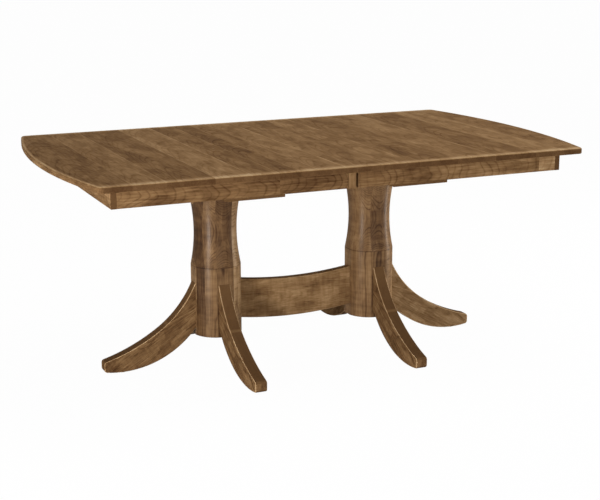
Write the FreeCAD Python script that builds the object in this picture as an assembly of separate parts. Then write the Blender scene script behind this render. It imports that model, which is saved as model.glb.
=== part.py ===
import FreeCAD, Part
import math
import os

# A double pedestal extension table, in millimetres.
# Origin on the floor under the centre of the top: +X along the table, +Y to the back, +Z up.

# Top
top_length = 1829.0
top_width = 1067.0
table_height = 762.0
top_thickness = 20.0
end_bow = 64.5
corner_radius = 22.0
top_edge_round = 6.0
under_edge_round = 2.5
split_gap = 0.6
split_x = -10.0

# Aprons
apron_height = 63.5
apron_thickness = 19.0
side_overhang = 66.5
end_overhang = 113.5
apron_edge_round = 1.5
apron_split_gap = 1.0
joint_block_width = 27.0
joint_block_drop = 1.0
joint_gap = 8.0
backer_length = 130.0
backer_thickness = 19.0
backer_setback = 6.0
corner_block_leg = 75.0
corner_block_height = 45.0
glue_block_size = 22.0
glue_block_length = 60.0
glue_block_gap = 10.0
side_glue_block_spacing = 210.0
end_glue_block_spacing = 330.0

# Pedestals
pedestal_spacing = 601.2
hub_radius = 88.2
hub_bottom = 103.0
hub_edge_round = 2.5
flat_depth = 3.7
shoulder_height = 352.0
waist_radius = 75.2
waist_height = 470.0

# Legs, drawn as an outline in reach and height from the column's axis
leg_thickness = 43.0
leg_reach = 420.0
leg_top_height = 293.0
leg_top_slope = 66.0
upper_bend_radius = 372.0
bend_change_slope = 34.0
lower_bend_radius = 650.0
underside_radius = 345.0
sole_reach = 352.0
tip_round = 11.0
leg_edge_round = 4.0

# Foot glides
glide_radius = 13.0
glide_thickness = 3.0
glide_pin_radius = 2.0
glide_pin_length = 16.0
glide_recess = 0.6
glide_recess_gap = 0.5

# Stretcher
stretcher_thickness = 32.0
stretcher_height = 142.0
stretcher_bottom = 129.6
stretcher_dip = 16.0
stretcher_edge_round = 3.0

# Dowels for the legs and the stretcher
dowel_radius = 6.0
dowel_length = 48.0
dowel_clearance = 0.05
dowel_low_share = 0.24
dowel_high_share = 0.60

# Cleats
cleat_width = 206.0
cleat_length = 770.0
cleat_thickness = 23.0
cleat_edge_round = 2.0

# Slides: a fixed rail between two moving rails, in two sets
slide_height = 67.6
slide_spacing = 460.0
fixed_rail_length = 1000.0
moving_rail_width = 32.0
moving_rail_end_gap = 4.0
rail_gap = 0.8
rail_clearance = 2.0
tongue_height = 12.0
tongue_depth = 8.0
tongue_from_top = 12.0
groove_clearance = 0.5
half_travel = 304.8

# Gearing
gear_module = 2.0
pinion_teeth = 20
pressure_angle = 20.0
gear_width = 10.0
gear_from_bottom = 11.0
backlash = 0.4
dedendum_share = 1.25
rack_tip_relief = 0.5
rack_back = 4.0
rack_spare = 16.0
rail_setback = 2.0
pinion_pocket_gap = 1.5
axle_radius = 4.0
axle_clearance = 0.08
axle_length = 32.0

# Screws
screw_radius = 2.5
screw_head_radius = 5.0
screw_head_height = 3.0
screw_bite = 14.0
screw_clearance = 0.05
screw_head_clearance = 0.5
rail_screws = 4
rail_screw_margin = 60.0
rail_screw_end_margin = 110.0
cleat_screw_spacing = 120.0
cleat_screw_bite = 24.0
lag_radius = 4.0
lag_head_radius = 7.5
lag_head_height = 5.0
lag_length = 76.0
lag_spacing = 96.0

# Alignment pins in the split
pin_radius = 5.0
pin_length = 38.0
pin_reach = 13.0
pin_clearance = 0.3
pin_end_clearance = 1.0
pin_spacing = 350.0

# Table locks
lock_spacing = 180.0
lock_plate_length = 44.0
lock_plate_width = 34.0
lock_plate_thickness = 2.5
lock_plate_setback = 8.0
lock_post_radius = 4.0
lock_post_clearance = 0.08
lock_lever_width = 20.0
lock_lever_thickness = 3.5
lock_lever_gap = 1.0
lock_post_tail = 1.0
lock_reach = 50.0
keeper_pin_radius = 3.0
keeper_slot_clearance = 0.5
keeper_plate_length = 30.0
keeper_plate_width = 34.0

# Places worked out from the sizes above
underside = table_height - top_thickness
half_length = top_length / 2
half_width = top_width / 2
corner_x = half_length - end_bow
apron_bottom = underside - apron_height
apron_x = half_length - end_overhang
apron_y = half_width - side_overhang
inner_x = apron_x - apron_thickness
inner_y = apron_y - apron_thickness
left_edge_x = split_x - split_gap / 2
right_edge_x = split_x + split_gap / 2
right_apron_x = right_edge_x + joint_block_width + joint_gap
column_x = pedestal_spacing / 2
flat_distance = hub_radius - flat_depth
cleat_top = underside - slide_height
column_top = cleat_top - cleat_thickness
rail_top = underside - rail_clearance
moving_rail_bottom = cleat_top + rail_clearance
pitch_radius = gear_module * pinion_teeth / 2
fixed_half = pitch_radius - rail_setback
moving_face = fixed_half + rail_gap
gear_low = cleat_top + gear_from_bottom
tongue_low = rail_top - tongue_from_top - tongue_height
set_y = slide_spacing / 2
lock_y = lock_spacing / 2

# How near an edge has to lie to a face to count as on it
near = 0.1

V = FreeCAD.Vector
UP = V(0, 0, 1)
ALONG = V(1, 0, 0)
SIDES = {"front": -1, "back": 1}


def box(low, high):
    """A block between two opposite corners, given in any order."""
    a = V(*[min(p, q) for p, q in zip(low, high)])
    b = V(*[max(p, q) for p, q in zip(low, high)])
    return Part.makeBox(b.x - a.x, b.y - a.y, b.z - a.z, a)


def rod(radius, length, start, direction=UP):
    return Part.makeCylinder(radius, length, V(*start), direction)


def prism(points, lift):
    """Straight sides through the points, closed and lifted along a vector."""
    wire = Part.makePolygon([V(*p) for p in points + points[:1]])
    return Part.Face(wire).extrude(V(*lift))


def turned(shape, degrees, about=(0, 0, 0)):
    copy = shape.copy()
    copy.rotate(V(*about), UP, degrees)
    return copy


def rounded(shape, radius, wanted):
    """Round the edges that the test picks."""
    edges = [edge for edge in shape.Edges if wanted(edge)]
    return shape.makeFillet(radius, edges)


def spaced(count, first, last):
    return [first + (last - first) * i / (count - 1) for i in range(count)]


def off_split(edge):
    """Whether an edge lies away from the faces that meet in the middle of the top."""
    middle = edge.valueAt((edge.FirstParameter + edge.LastParameter) / 2)
    return abs(middle.x - split_x) > split_gap / 2 + near


def save(name, *solids):
    shape = solids[0] if len(solids) == 1 else Part.makeCompound(list(solids))
    count = len(shape.Solids)
    print(name, "solids", count, "valid", shape.isValid(), "volume", round(shape.Volume))
    shape.exportStep("parts/" + name + ".step")


def screw_up(start, head_radius, head_height, radius, length):
    """A screw driven upwards, with its head's underside at the start."""
    x, y, z = start
    head = rod(head_radius, head_height, (x, y, z))
    return head.fuse(rod(radius, length, (x, y, z + head_height)))


def screw_hole_up(start, depth, length):
    """The clearance hole of an upward screw, with its head sunk from the face at the start."""
    x, y, z = start
    head = rod(screw_head_radius + screw_head_clearance, depth, (x, y, z))
    return head.fuse(rod(screw_radius + screw_clearance, length, (x, y, z)))


# Columns and what stands on the floor

def column():
    """The left column on the Z axis: a straight hub below the shoulder, one hollow curve above."""
    foot = V(hub_radius, 0, hub_bottom)
    shoulder = V(hub_radius, 0, shoulder_height)
    waist = V(waist_radius, 0, waist_height)
    crown = V(cleat_width / 2, 0, column_top)
    edges = [
        Part.makeLine(V(0, 0, hub_bottom), foot),
        Part.makeLine(foot, shoulder),
        Part.Arc(shoulder, waist, crown).toShape(),
        Part.makeLine(crown, V(0, 0, column_top)),
        Part.makeLine(V(0, 0, column_top), V(0, 0, hub_bottom)),
    ]
    body = Part.Face(Part.Wire(edges)).revolve(V(0, 0, 0), UP, 360)
    low = hub_bottom + near
    body = rounded(body, hub_edge_round, lambda e: e.BoundBox.ZMax < low and e.Length > hub_radius)
    reach = 2 * hub_radius
    for quarter in range(4):
        flat = box((flat_distance, -reach, 0), (reach, reach, shoulder_height))
        body = body.cut(turned(flat, 90 * quarter))
    return body


def bored_column():
    """The column with its dowel holes, for the stretcher along +X and the legs on the other sides."""
    body = column().cut(dowel_holes(flat_distance, stretcher_dowel_heights()))
    for quarter in (1, 2, 3):
        body = body.cut(turned(dowel_holes(flat_distance, leg_dowel_heights()), 90 * quarter))
    for x, y in lag_places():
        body = body.cut(lag_hole(x, y))
    return body


def underside_height(reach):
    """Height of the leg's lower curve at a reach from the column's axis."""
    run = reach - sole_reach
    lowest = glide_thickness - glide_recess
    return lowest + underside_radius - math.sqrt(underside_radius ** 2 - run * run)


def slope_point(start, slope_from, slope_to, bend):
    """Where an arc ends that bends from one downward slope to a gentler one."""
    a = math.radians(slope_from)
    b = math.radians(slope_to)
    return V(start.x + bend * (math.sin(a) - math.sin(b)), 0, start.z - bend * (math.cos(b) - math.cos(a)))


def slope_at(start, slope_from, reach, bend):
    """The slope that such an arc has come down to at a given reach."""
    return math.degrees(math.asin(math.sin(math.radians(slope_from)) - (reach - start.x) / bend))


def leg_outline():
    top = V(flat_distance, 0, leg_top_height)
    change = slope_point(top, leg_top_slope, bend_change_slope, upper_bend_radius)
    tip_slope = slope_at(change, bend_change_slope, leg_reach, lower_bend_radius)
    tip = slope_point(change, bend_change_slope, tip_slope, lower_bend_radius)
    upper_mid = slope_point(top, leg_top_slope, (leg_top_slope + bend_change_slope) / 2, upper_bend_radius)
    lower_mid = slope_point(change, bend_change_slope, (bend_change_slope + tip_slope) / 2, lower_bend_radius)
    heel = V(leg_reach, 0, underside_height(leg_reach))
    root = V(flat_distance, 0, underside_height(flat_distance))
    belly_x = (leg_reach + flat_distance) / 2
    belly = V(belly_x, 0, underside_height(belly_x))
    return [
        Part.Arc(top, upper_mid, change).toShape(),
        Part.Arc(change, lower_mid, tip).toShape(),
        Part.makeLine(tip, heel),
        Part.Arc(heel, belly, root).toShape(),
        Part.makeLine(root, top),
    ]


def leg():
    """A leg along +X from the column's axis, with its dowel holes and a flat recess for its glide."""
    face = Part.Face(Part.Wire(leg_outline()))
    face.translate(V(0, -leg_thickness / 2, 0))
    body = face.extrude(V(0, leg_thickness, 0))
    across = leg_thickness / 2
    end = leg_reach - near
    body = rounded(body, tip_round, lambda e: e.BoundBox.YLength > across and e.BoundBox.XMin > end)
    inner = flat_distance + near
    body = rounded(body, leg_edge_round, lambda e: e.BoundBox.YLength < near and e.BoundBox.XMax > inner)
    body = body.cut(rod(glide_radius + glide_recess_gap, glide_thickness, (sole_reach, 0, 0)))
    body = body.cut(rod(glide_pin_radius, glide_pin_length, (sole_reach, 0, glide_thickness)))
    return body.cut(dowel_holes(flat_distance, leg_dowel_heights()))


def leg_dowel_heights():
    low = underside_height(flat_distance)
    rise = leg_top_height - low
    return [low + rise * dowel_low_share, low + rise * dowel_high_share]


def stretcher_end_height():
    return stretcher_bottom + stretcher_dip


def stretcher_dowel_heights():
    low = stretcher_end_height()
    return [low + stretcher_height * dowel_low_share, low + stretcher_height * (1 - dowel_low_share)]


def dowels(face_x, heights):
    return [rod(dowel_radius, dowel_length, (face_x - dowel_length / 2, 0, z), ALONG) for z in heights]


def dowel_holes(face_x, heights):
    radius = dowel_radius + dowel_clearance
    length = dowel_length + 2 * dowel_clearance
    start = face_x - length / 2
    return Part.makeCompound([rod(radius, length, (start, 0, z), ALONG) for z in heights])


def glide():
    disc = rod(glide_radius, glide_thickness, (sole_reach, 0, 0))
    return disc.fuse(rod(glide_pin_radius, glide_pin_length, (sole_reach, 0, glide_thickness)))


def stretcher():
    """A board between the two hubs whose edges both bow down."""
    half = column_x - flat_distance
    low_end = stretcher_end_height()
    ends = [V(-half, 0, low_end), V(half, 0, low_end)]
    lift = V(0, 0, stretcher_height)
    low_mid = V(0, 0, stretcher_bottom)
    edges = [
        Part.Arc(ends[0], low_mid, ends[1]).toShape(),
        Part.makeLine(ends[1], ends[1] + lift),
        Part.Arc(ends[1] + lift, low_mid + lift, ends[0] + lift).toShape(),
        Part.makeLine(ends[0] + lift, ends[0]),
    ]
    face = Part.Face(Part.Wire(edges))
    face.translate(V(0, -stretcher_thickness / 2, 0))
    body = face.extrude(V(0, stretcher_thickness, 0))
    body = rounded(body, stretcher_edge_round, lambda e: e.BoundBox.XLength > half)
    for face_x in (-half, half):
        body = body.cut(dowel_holes(face_x, stretcher_dowel_heights()))
    return body


# Cleats and the fixed rails

def lag_places():
    half = lag_spacing / 2
    return [(x, y) for x in (-half, half) for y in (-half, half)]


def cleat_screw_places():
    half = cleat_screw_spacing / 2
    return [(x, y) for x in (-half, half) for y in (-set_y, set_y)]


def cleat():
    """The left or right cleat, about its column's axis."""
    half_x = cleat_width / 2
    half_y = cleat_length / 2
    body = box((-half_x, -half_y, column_top), (half_x, half_y, cleat_top))
    body = rounded(body, cleat_edge_round, lambda e: e.BoundBox.ZMax < column_top + near)
    for x, y in lag_places():
        body = body.cut(lag_hole(x, y))
    for x, y in cleat_screw_places():
        body = body.cut(screw_hole_up((x, y, column_top), screw_head_height, cleat_thickness))
    return body


def lag(x, y):
    head = rod(lag_head_radius, lag_head_height, (x, y, cleat_top - lag_head_height))
    shank_length = lag_length - lag_head_height
    return head.fuse(rod(lag_radius, shank_length, (x, y, cleat_top - lag_length)))


def lag_hole(x, y):
    head = rod(lag_head_radius + screw_head_clearance, lag_head_height, (x, y, cleat_top - lag_head_height))
    return head.fuse(rod(lag_radius + screw_clearance, lag_length, (x, y, cleat_top - lag_length)))


def cleat_screw(x, y):
    length = cleat_thickness - screw_head_height + cleat_screw_bite
    return screw_up((x, y, column_top), screw_head_radius, screw_head_height, screw_radius, length)


def fixed_rail(side):
    """A fixed rail with a tongue on each side and a pocket for its pinion."""
    y = side * set_y
    half = fixed_rail_length / 2
    body = box((-half, y - fixed_half, cleat_top), (half, y + fixed_half, rail_top))
    tongue = fixed_half + tongue_depth
    body = body.fuse(box((-half, y - tongue, tongue_low), (half, y + tongue, tongue_low + tongue_height)))
    pocket_radius = pitch_radius + gear_module + pinion_pocket_gap
    pocket_low = gear_low - pinion_pocket_gap
    body = body.cut(rod(pocket_radius, gear_width + 2 * pinion_pocket_gap, (0, y, pocket_low)))
    body = body.cut(rod(axle_radius, axle_length, (0, y, cleat_top)))
    radius = screw_radius + screw_clearance
    for column_side in (-1, 1):
        for x, screw_y in cleat_screw_places():
            hole_x = x + column_side * column_x
            body = body.cut(rod(radius, cleat_screw_bite, (hole_x, screw_y, cleat_top)))
    return body.removeSplitter()


def axle(side):
    return rod(axle_radius, axle_length, (0, side * set_y, cleat_top))


def involute(base_radius, radius):
    """The polar angle of a point of the tooth flank at a radius."""
    tangent = math.sqrt(max((radius / base_radius) ** 2 - 1, 0))
    return tangent - math.atan(tangent)


def pinion(side):
    """An involute spur gear on a vertical axis, with a tooth centred towards each rack."""
    tip = pitch_radius + gear_module
    root = pitch_radius - dedendum_share * gear_module
    base = pitch_radius * math.cos(math.radians(pressure_angle))
    half_tooth = (math.pi * gear_module / 2 - backlash) / (2 * pitch_radius)
    flank_steps = 5
    flank = []
    for i in range(flank_steps + 1):
        radius = base + (tip - base) * i / flank_steps
        flank.append((radius, half_tooth + involute(base, pitch_radius) - involute(base, radius)))
    flank.insert(0, (root, flank[0][1]))
    points = []
    for tooth in range(pinion_teeth):
        centre = math.pi / 2 + 2 * math.pi * tooth / pinion_teeth
        for radius, angle in flank:
            points.append((radius * math.cos(centre - angle), radius * math.sin(centre - angle), 0))
        for radius, angle in reversed(flank):
            points.append((radius * math.cos(centre + angle), radius * math.sin(centre + angle), 0))
    body = prism(points, (0, 0, gear_width))
    body = body.cut(rod(axle_radius + axle_clearance, gear_width, (0, 0, 0)))
    body.translate(V(0, side * set_y, gear_low))
    return body


# The two halves of the top. half is -1 for the left half and +1 for the right half.

def split_edge(half):
    """Where a half of the top ends at the split, along X."""
    return left_edge_x if half < 0 else right_edge_x


def top_outline(half):
    """Outline of one half at the split: straight sides, bowed end, rounded corners."""
    inner_edge = split_edge(half)
    front = V(half * corner_x, -half_width, underside)
    back = V(half * corner_x, half_width, underside)
    crown = V(half * half_length, 0, underside)
    edges = [
        Part.makeLine(V(inner_edge, -half_width, underside), front),
        Part.Arc(front, crown, back).toShape(),
        Part.makeLine(back, V(inner_edge, half_width, underside)),
        Part.makeLine(V(inner_edge, half_width, underside), V(inner_edge, -half_width, underside)),
    ]
    return Part.Face(Part.Wire(edges))


def top_panel(half):
    body = top_outline(half).extrude(V(0, 0, top_thickness))
    body = rounded(body, corner_radius, lambda e: e.BoundBox.ZLength > near and off_split(e))
    body = rounded(body, top_edge_round, lambda e: e.BoundBox.ZMin > table_height - near and off_split(e))
    body = rounded(body, under_edge_round, lambda e: e.BoundBox.ZMax < underside + near and off_split(e))
    for x, y in rail_screw_places(half):
        body = body.cut(rod(screw_radius + screw_clearance, screw_bite, (x, y, underside)))
    for y in pin_places():
        body = body.cut(pin_hole(half, y))
    return body


def pin_places():
    return [-pin_spacing, 0, pin_spacing]


def pin(y):
    height = underside + top_thickness / 2
    return rod(pin_radius, pin_length, (split_x + pin_reach - pin_length, y, height), ALONG)


def pin_hole(half, y):
    height = underside + top_thickness / 2
    if half < 0:
        return pin(y)
    return rod(pin_radius + pin_clearance, pin_reach + pin_end_clearance, (split_x, y, height), ALONG)


def apron_board(low, high):
    """An apron board with its lower long edges eased."""
    board = box(low, high)
    long_side = max(board.BoundBox.XLength, board.BoundBox.YLength)
    low = apron_bottom + near
    return rounded(board, apron_edge_round, lambda e: e.Length > long_side - near and e.BoundBox.ZMax < low)


def end_apron(half):
    return apron_board((half * inner_x, -apron_y, apron_bottom), (half * apron_x, apron_y, underside))


def side_apron_start(half):
    return split_x - apron_split_gap if half < 0 else right_apron_x


def side_apron(half, side):
    start = side_apron_start(half)
    return apron_board((start, side * inner_y, apron_bottom), (half * inner_x, side * apron_y, underside))


def joint_block(side):
    low = (right_edge_x, side * inner_y, apron_bottom - joint_block_drop)
    return box(low, (right_edge_x + joint_block_width, side * apron_y, underside))


def joint_backer(side):
    low = (right_edge_x, side * (inner_y - backer_thickness), apron_bottom + backer_setback)
    return box(low, (right_edge_x + backer_length, side * inner_y, underside))


def corner_block(half, side):
    """A triangular block in the corner between an end apron and a side apron."""
    x = half * inner_x
    y = side * inner_y
    z = underside - corner_block_height
    points = [(x, y, z), (x - half * corner_block_leg, y, z), (x, y - side * corner_block_leg, z)]
    return prism(points, (0, 0, corner_block_height))


def side_glue_block(x, side):
    y = side * inner_y
    size = glue_block_size
    start = x - glue_block_length / 2
    points = [(start, y, underside), (start, y - side * size, underside), (start, y, underside - size)]
    return prism(points, (glue_block_length, 0, 0))


def end_glue_block(half, y):
    x = half * inner_x
    size = glue_block_size
    start = y - glue_block_length / 2
    points = [(x, start, underside), (x - half * size, start, underside), (x, start, underside - size)]
    return prism(points, (0, glue_block_length, 0))


def side_block_places():
    """Places along a side apron, from the corner block in to the joint backer."""
    first = inner_x - corner_block_leg - glue_block_length
    last = right_edge_x + backer_length + glue_block_gap + glue_block_length / 2
    steps = math.floor((first - last) / side_glue_block_spacing)
    return [first - i * side_glue_block_spacing for i in range(steps + 1)]


def end_block_places(half):
    """Places along an end apron, out from its middle, that clear the corner blocks and the rail ends."""
    last = inner_y - corner_block_leg - glue_block_gap - glue_block_length / 2
    steps = math.floor(last / end_glue_block_spacing)
    rail_room = (moving_rail_width + glue_block_length) / 2 + glue_block_gap
    rail_places = [moving_rail_middle(half, side) for side in SIDES.values()]
    places = [i * end_glue_block_spacing for i in range(-steps, steps + 1)]
    return [y for y in places if min(abs(y - rail) for rail in rail_places) > rail_room]


def glue_blocks(half):
    """Small three sided blocks glued between the aprons and the top."""
    blocks = []
    for x in side_block_places():
        for side in SIDES.values():
            blocks.append(side_glue_block(half * x, side))
    for y in end_block_places(half):
        blocks.append(end_glue_block(half, y))
    return blocks


# Moving rails. On each set the left half's rail is on the outside and the right half's on the inside.

def rail_lean(half, side):
    """Which way from the fixed rail a half's moving rail lies, along Y."""
    return -half * side


def moving_rail_middle(half, side):
    """Where the middle of a moving rail's thickness lies along Y."""
    return side * set_y + rail_lean(half, side) * (moving_face + moving_rail_width / 2)


def moving_rail_reach():
    """How far past the split a moving rail goes: far enough for its rack at full travel."""
    return half_travel + 2 * rack_spare


def rail_screw_places(half):
    places = []
    far = inner_x - moving_rail_end_gap - rail_screw_margin
    for side in SIDES.values():
        for x in spaced(rail_screws, rail_screw_end_margin, far):
            places.append((half * x, moving_rail_middle(half, side)))
    return places


def moving_rail(half, side):
    """A rail under one half of the top, grooved for the fixed rail's tongue and for its rack."""
    lean = rail_lean(half, side)
    y = side * set_y
    inner = y + lean * moving_face
    outer = inner + lean * moving_rail_width
    start = -half * moving_rail_reach()
    end = half * (inner_x - moving_rail_end_gap)
    body = box((start, inner, moving_rail_bottom), (end, outer, underside))
    groove_floor = y + lean * (fixed_half + tongue_depth + groove_clearance)
    groove_low = tongue_low - groove_clearance
    groove_high = tongue_low + tongue_height + groove_clearance
    body = body.cut(box((start, inner, groove_low), (end, groove_floor, groove_high)))
    rack_floor = y + lean * rack_floor_distance()
    rack_start, rack_end = rack_span(half)
    body = body.cut(box((rack_start, inner, gear_low), (rack_end, rack_floor, gear_low + gear_width)))
    body = body.cut(box((start, inner, rail_top), (split_edge(half), outer, underside)))
    for x, screw_y in rail_screw_places(half):
        if abs(screw_y - (inner + outer) / 2) < moving_rail_width / 2:
            hole = screw_hole_up((x, screw_y, moving_rail_bottom), screw_head_height, slide_height)
            body = body.cut(hole)
    return body


def rack_floor_distance():
    return pitch_radius + dedendum_share * gear_module + rack_back


def rack_span(half):
    """The rack's two ends: a little before the pinion at rest, and past it at full travel."""
    pitch = math.pi * gear_module
    teeth_before = math.ceil(rack_spare / pitch)
    teeth_after = math.ceil((half_travel + rack_spare) / pitch)
    return half * teeth_before * pitch, -half * teeth_after * pitch


def rack(half, side):
    """A toothed strip with a gap between teeth centred on the pinion at rest."""
    lean = rail_lean(half, side)
    y = side * set_y
    pitch = math.pi * gear_module
    start = min(rack_span(half))
    count = round(abs(rack_span(half)[0] - rack_span(half)[1]) / pitch)
    tip = moving_face - rack_tip_relief
    root = pitch_radius + dedendum_share * gear_module
    lean_angle = math.tan(math.radians(pressure_angle))
    half_tooth = pitch / 4
    tip_half = half_tooth - (pitch_radius - tip) * lean_angle
    root_half = half_tooth + (root - pitch_radius) * lean_angle
    points = []
    for i in range(count):
        centre = start + (i + 0.5) * pitch
        for offset, reach in ((-root_half, root), (-tip_half, tip), (tip_half, tip), (root_half, root)):
            points.append((centre + offset, y + lean * reach, gear_low))
    back = y + lean * rack_floor_distance()
    first = [(start, back, gear_low), (start, y + lean * root, gear_low)]
    end = start + count * pitch
    last = [(end, y + lean * root, gear_low), (end, back, gear_low)]
    return prism(first + points + last, (0, 0, gear_width))


def rail_screw(x, y):
    length = slide_height - rail_clearance - screw_head_height + screw_bite
    return screw_up((x, y, moving_rail_bottom), screw_head_radius, screw_head_height, screw_radius, length)


# Table locks: a plate and lever on the left half, and a keeper on the right half

def lock_pivot_x():
    return keeper_x() - lock_reach


def keeper_x():
    return right_edge_x + lock_plate_setback + keeper_plate_length / 2


def lock_lever_top():
    return underside - lock_plate_thickness - lock_lever_gap


def lock_post_low():
    return lock_lever_top() - lock_lever_thickness - lock_post_tail


def lock_plate(side):
    """A plate under the left half with the post that the lever swings on."""
    y = side * lock_y
    x = lock_pivot_x()
    low = (x - lock_plate_length / 2, y - lock_plate_width / 2, underside - lock_plate_thickness)
    high = (x + lock_plate_length / 2, y + lock_plate_width / 2, underside)
    post = rod(lock_post_radius, underside - lock_post_low(), (x, y, lock_post_low()))
    return box(low, high).fuse(post)


def keeper(side):
    y = side * lock_y
    x = keeper_x()
    low = (x - keeper_plate_length / 2, y - keeper_plate_width / 2, underside - lock_plate_thickness)
    high = (x + keeper_plate_length / 2, y + keeper_plate_width / 2, underside)
    post = rod(keeper_pin_radius, underside - lock_post_low(), (x, y, lock_post_low()))
    return box(low, high).fuse(post)


def lock_lever(side):
    """The lever at rest, swung away from its keeper; a quarter turn hooks it on the keeper's pin."""
    y = side * lock_y
    x = lock_pivot_x()
    top = lock_lever_top()
    low = top - lock_lever_thickness
    half = lock_lever_width / 2
    bar_end = lock_reach + half
    bar = box((x, y - half, low), (x + bar_end, y + half, top))
    bar = bar.fuse(rod(half, lock_lever_thickness, (x, y, low)))
    slot_half = keeper_pin_radius + keeper_slot_clearance
    ring = rod(lock_reach + slot_half, lock_lever_thickness, (x, y, low))
    ring = ring.cut(rod(lock_reach - slot_half, lock_lever_thickness, (x, y, low)))
    lead = -side
    mouth = box((x, y, low), (x + 2 * bar_end, y + lead * bar_end, top))
    seat = rod(slot_half, lock_lever_thickness, (x + lock_reach, y, low))
    bar = bar.cut(ring.common(mouth)).cut(seat)
    bar = bar.cut(rod(lock_post_radius + lock_post_clearance, lock_lever_thickness, (x, y, low)))
    return turned(bar, side * 90, (x, y, 0))


def build_base():
    blank = bored_column()
    one_leg = leg()
    leg_names = {
        "left": {90: "back", 180: "outer", 270: "front"},
        "right": {90: "front", 180: "outer", 270: "back"},
    }
    plain_cleat = cleat()
    leg_pins = []
    glides = []
    lags = []
    cleat_screws = []
    for hand, sign in (("left", -1), ("right", 1)):
        place = V(sign * column_x, 0, 0)
        facing = 0 if hand == "left" else 180
        save(hand + "_column", placed(blank, facing, place))
        save(hand + "_cleat", placed(plain_cleat, facing, place))
        for angle, name in leg_names[hand].items():
            save(hand + "_" + name + "_leg", placed(one_leg, facing + angle, place))
            leg_pins += [placed(d, facing + angle, place) for d in dowels(flat_distance, leg_dowel_heights())]
            glides.append(placed(glide(), facing + angle, place))
        lags += [placed(lag(x, y), facing, place) for x, y in lag_places()]
        cleat_screws += [placed(cleat_screw(x, y), facing, place) for x, y in cleat_screw_places()]
    save("leg_dowels", *leg_pins)
    save("foot_glides", *glides)
    save("column_lag_screws", *lags)
    save("cleat_screws", *cleat_screws)
    save("stretcher", stretcher())
    reach = column_x - flat_distance
    stretcher_pins = dowels(-reach, stretcher_dowel_heights()) + dowels(reach, stretcher_dowel_heights())
    save("stretcher_dowels", *stretcher_pins)
    for name, side in SIDES.items():
        save(name + "_fixed_rail", fixed_rail(side))
        save(name + "_pinion", pinion(side))
    save("pinion_axles", *[axle(side) for side in SIDES.values()])


def placed(shape, degrees, place):
    copy = turned(shape, degrees)
    copy.translate(place)
    return copy


def build_half(hand, half):
    save(hand + "_top", top_panel(half))
    save(hand + "_end_apron", end_apron(half))
    for name, side in SIDES.items():
        save(hand + "_" + name + "_apron", side_apron(half, side))
        save(hand + "_" + name + "_rail", moving_rail(half, side))
    save(hand + "_corner_blocks", *[corner_block(half, side) for side in SIDES.values()])
    save(hand + "_glue_blocks", *glue_blocks(half))
    save(hand + "_racks", *[rack(half, side) for side in SIDES.values()])
    save(hand + "_rail_screws", *[rail_screw(x, y) for x, y in rail_screw_places(half)])


os.makedirs("parts", exist_ok=True)
build_base()
build_half("left", -1)
build_half("right", 1)
save("alignment_pins", *[pin(y) for y in pin_places()])
save("lock_plates", *[lock_plate(side) for side in SIDES.values()])
save("lock_keepers", *[keeper(side) for side in SIDES.values()])
for name, side in SIDES.items():
    save(name + "_joint_block", joint_block(side))
    save(name + "_joint_backer", joint_backer(side))
    save(name + "_lock_lever", lock_lever(side))
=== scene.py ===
# %% [markdown]
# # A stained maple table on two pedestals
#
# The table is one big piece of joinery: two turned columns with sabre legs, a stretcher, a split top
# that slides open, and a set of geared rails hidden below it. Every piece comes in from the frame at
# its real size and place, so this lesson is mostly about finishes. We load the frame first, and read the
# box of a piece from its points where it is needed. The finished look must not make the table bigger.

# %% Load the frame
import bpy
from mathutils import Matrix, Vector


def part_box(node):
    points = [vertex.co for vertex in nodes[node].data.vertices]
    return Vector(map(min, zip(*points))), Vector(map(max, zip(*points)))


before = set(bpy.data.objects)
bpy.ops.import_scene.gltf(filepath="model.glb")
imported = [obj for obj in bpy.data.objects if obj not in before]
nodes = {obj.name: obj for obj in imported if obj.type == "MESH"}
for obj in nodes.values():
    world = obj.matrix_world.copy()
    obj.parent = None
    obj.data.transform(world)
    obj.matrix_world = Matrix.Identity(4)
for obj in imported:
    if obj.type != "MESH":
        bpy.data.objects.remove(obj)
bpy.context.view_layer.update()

import math

import bpy
from mathutils import Matrix, Vector

scene = bpy.context.scene

# %% [markdown]
# ## The camera
#
# The picture was taken from the front left, a little above the top, with a longish lens. A camera could
# be aimed with a constraint, but three angles and a place say the same thing and stay readable. The lens
# comes from the focal length in picture points and the width of the picture.

# %% Camera
PICTURE_WIDTH = 600
SENSOR_WIDTH = 36.0
FOCAL_POINTS = 1319.0
CAMERA_PLACE = Vector((-1.8385, -4.2337, 1.5112))
CAMERA_YAW = 0.41434
CAMERA_PITCH = 0.24287
CAMERA_ROLL = -0.00192


def aim_camera():
    """A camera turned by yaw, then tipped down by pitch, then rolled about its own view."""
    camera = bpy.data.objects.new("camera", bpy.data.cameras.new("camera"))
    scene.collection.objects.link(camera)
    level = Matrix.Rotation(math.pi / 2 - CAMERA_PITCH, 4, "X")
    turn = Matrix.Rotation(-CAMERA_YAW, 4, "Z")
    roll = Matrix.Rotation(CAMERA_ROLL, 4, "Z")
    camera.matrix_world = Matrix.Translation(CAMERA_PLACE) @ turn @ level @ roll
    camera.data.sensor_width = SENSOR_WIDTH
    camera.data.lens = FOCAL_POINTS * SENSOR_WIDTH / PICTURE_WIDTH
    scene.camera = camera
    return camera


camera = aim_camera()
print("lens in millimetres:", round(camera.data.lens, 1))

# %% [markdown]
# ## Node helpers
#
# Materials below are graphs of nodes. They could be wired by hand in the shader editor, but the same few
# moves come back hundreds of times, so small helpers keep them short to read. One adds a node, one links a
# socket or writes a number into it, and two do maths with numbers and with vectors.

# %% Node helpers
SINGLE_NUMBER = ("DOT_PRODUCT", "LENGTH")


def add(tree, kind, **options):
    """A new shader node with its options set."""
    made = tree.nodes.new("ShaderNode" + kind)
    for option, value in options.items():
        setattr(made, option, value)
    return made


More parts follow.
